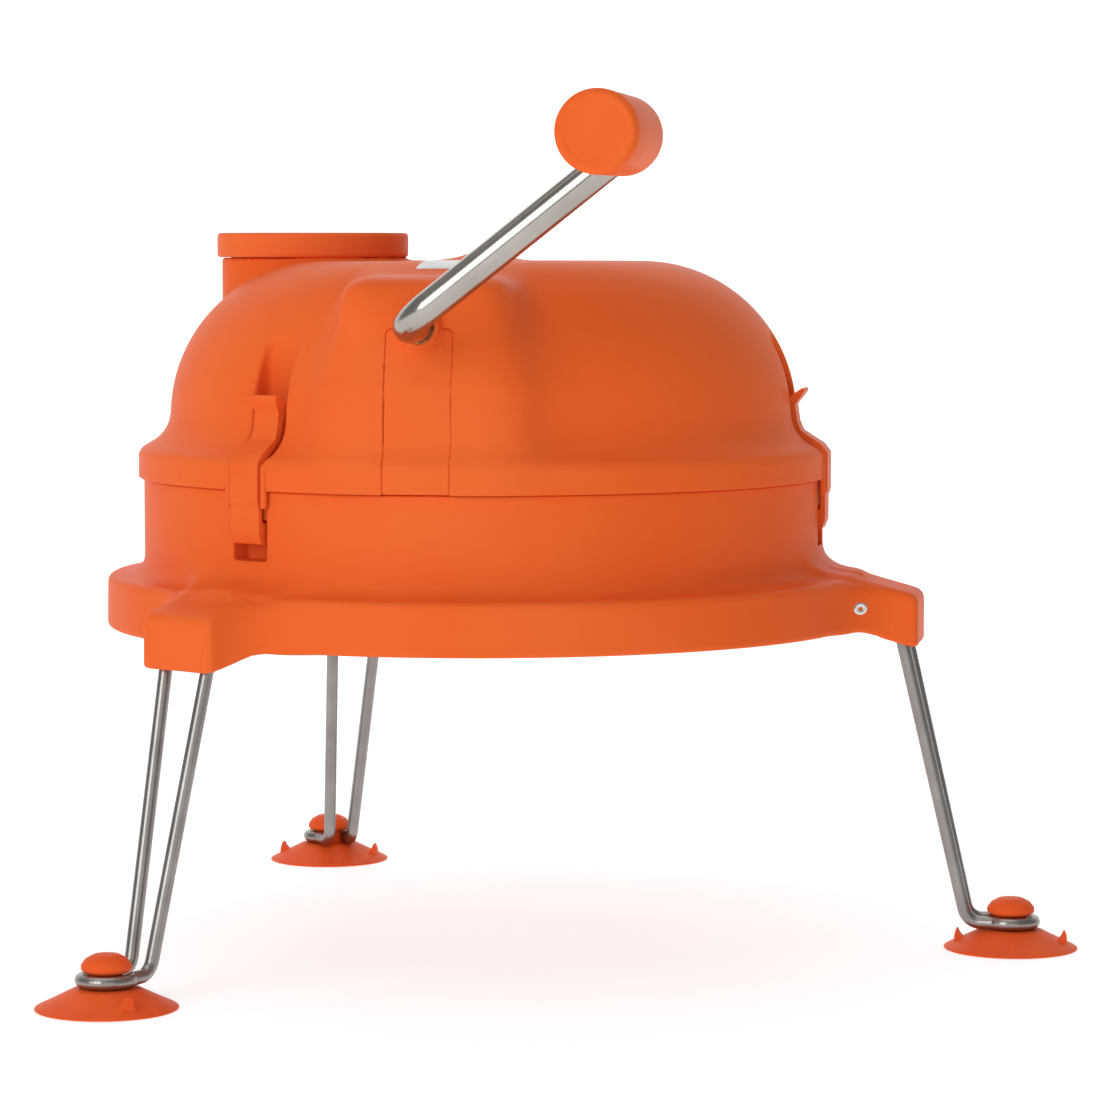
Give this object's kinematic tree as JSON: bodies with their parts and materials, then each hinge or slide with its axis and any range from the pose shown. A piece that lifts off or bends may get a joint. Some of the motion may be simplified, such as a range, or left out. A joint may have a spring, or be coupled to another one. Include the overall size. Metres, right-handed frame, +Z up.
{
  "type": "rotary cheese grater",
  "caption": "Hand-cranked rotary grater: orange domed housing with feed tube, geared disc, bent steel crank and folding wire legs on suction cups.",
  "frame": {"origin": "on the table, at the middle of the grater's footprint box, under the housing", "axes": "+Z up out of the table, the crank and its knob face -Y, one leg points along +X"},
  "size_m": [0.454, 0.5496, 0.3878],
  "materials": {
    "orange_shell": "satin moulded plastic",
    "orange_latch": "satin moulded plastic",
    "orange_knob": "satin moulded plastic",
    "orange_pusher": "satin moulded plastic",
    "cup_rubber": "soft orange rubber",
    "polished_tube": "polished stainless tube",
    "leg_wire": "drawn stainless wire",
    "pin_steel": "bright pin head",
    "hidden_steel": "plain steel",
    "disc_steel": "stamped stainless sheet",
    "blank_plate": "satin blank plate",
    "gear_plastic": "natural white plastic",
    "bronze": "oiled bronze"
  },
  "bodies": {
    "base": {"base_housing": "orange_shell", "spindle_spider": "hidden_steel", "spider_screws": "hidden_steel", "spindle_bush": "bronze", "cover_shell": "orange_shell", "name_plate": "blank_plate", "crank_bracket": "orange_shell", "bracket_screws": "hidden_steel", "front_bush": "bronze", "rear_bush": "bronze", "latch_pin_right": "hidden_steel", "latch_pin_rear": "hidden_steel", "latch_pin_left": "hidden_steel", "latch_spring_right": "hidden_steel", "latch_spring_rear": "hidden_steel", "latch_spring_left": "hidden_steel", "leg_pin_right": "pin_steel", "leg_pin_rear": "pin_steel", "leg_pin_left": "pin_steel"},
    "crank": {"crank_tube": "polished_tube", "shaft_ring": "hidden_steel", "drive_pinion": "gear_plastic", "pinion_pin": "hidden_steel", "knob_retainer": "hidden_steel"},
    "knob": {"knob_grip": "orange_knob", "knob_cap": "orange_knob"},
    "disc": {"spindle": "hidden_steel", "thrust_washer": "hidden_steel", "disc_hub": "gear_plastic", "grating_disc": "disc_steel", "disc_rivets": "hidden_steel", "spindle_nut": "hidden_steel", "crown_gear": "gear_plastic"},
    "pusher": {"pusher_body": "orange_pusher", "pusher_cap": "orange_pusher"},
    "latch_right": {"latch_right": "orange_latch"},
    "leg_right": {"leg_wire_right": "leg_wire", "suction_cup_right": "cup_rubber"},
    "latch_rear": {"latch_rear": "orange_latch"},
    "leg_rear": {"leg_wire_rear": "leg_wire", "suction_cup_rear": "cup_rubber"},
    "latch_left": {"latch_left": "orange_latch"},
    "leg_left": {"leg_wire_left": "leg_wire", "suction_cup_left": "cup_rubber"}
  },
  "joints": [
    {"name": "crank_turn", "type": "hinge", "parent": "base", "child": "crank", "pos_m": [-0.053, 0.02818, 0.291], "axis": [0, -1, 0], "continuous": true},
    {"name": "knob_spin", "type": "hinge", "parent": "crank", "child": "knob", "pos_m": [0.04838, 0.02818, 0.37077], "axis": [0, -1, 0], "continuous": true},
    {"name": "disc_spin", "type": "hinge", "parent": "base", "child": "disc", "pos_m": [-0.053, 0.02818, 0.224], "axis": [0, 0, 1], "continuous": true},
    {"name": "pusher_lift", "type": "slide", "parent": "base", "child": "pusher", "axis": [0, 0, 1], "range_m": [0, 0.09]},
    {"name": "latch_right_open", "type": "hinge", "parent": "base", "child": "latch_right", "pos_m": [0.1067, 0.02818, 0.222], "axis": [0, -1, 0], "range_deg": [0, 13], "stiffness_Nm_per_rad": 0.25},
    {"name": "latch_rear_open", "type": "hinge", "parent": "base", "child": "latch_rear", "pos_m": [-0.13285, 0.16648, 0.222], "axis": [0.866, 0.5, 0], "range_deg": [0, 13], "stiffness_Nm_per_rad": 0.25},
    {"name": "latch_left_open", "type": "hinge", "parent": "base", "child": "latch_left", "pos_m": [-0.13285, -0.11012, 0.222], "axis": [-0.866, 0.5, 0], "range_deg": [0, 13], "stiffness_Nm_per_rad": 0.25},
    {"name": "leg_right_fold", "type": "hinge", "parent": "base", "child": "leg_right", "pos_m": [0.128, 0.02818, 0.16], "axis": [0, 1, 0], "range_deg": [0, 75]},
    {"name": "leg_rear_fold", "type": "hinge", "parent": "base", "child": "leg_rear", "pos_m": [-0.1435, 0.18493, 0.16], "axis": [-0.866, -0.5, 0], "range_deg": [0, 75]},
    {"name": "leg_left_fold", "type": "hinge", "parent": "base", "child": "leg_left", "pos_m": [-0.1435, -0.12857, 0.16], "axis": [0.866, -0.5, 0], "range_deg": [0, 75]}
  ],
  "couplings": [
    {"joint": "disc_spin", "follows": "crank_turn", "ratio": 0.66667}
  ]
}
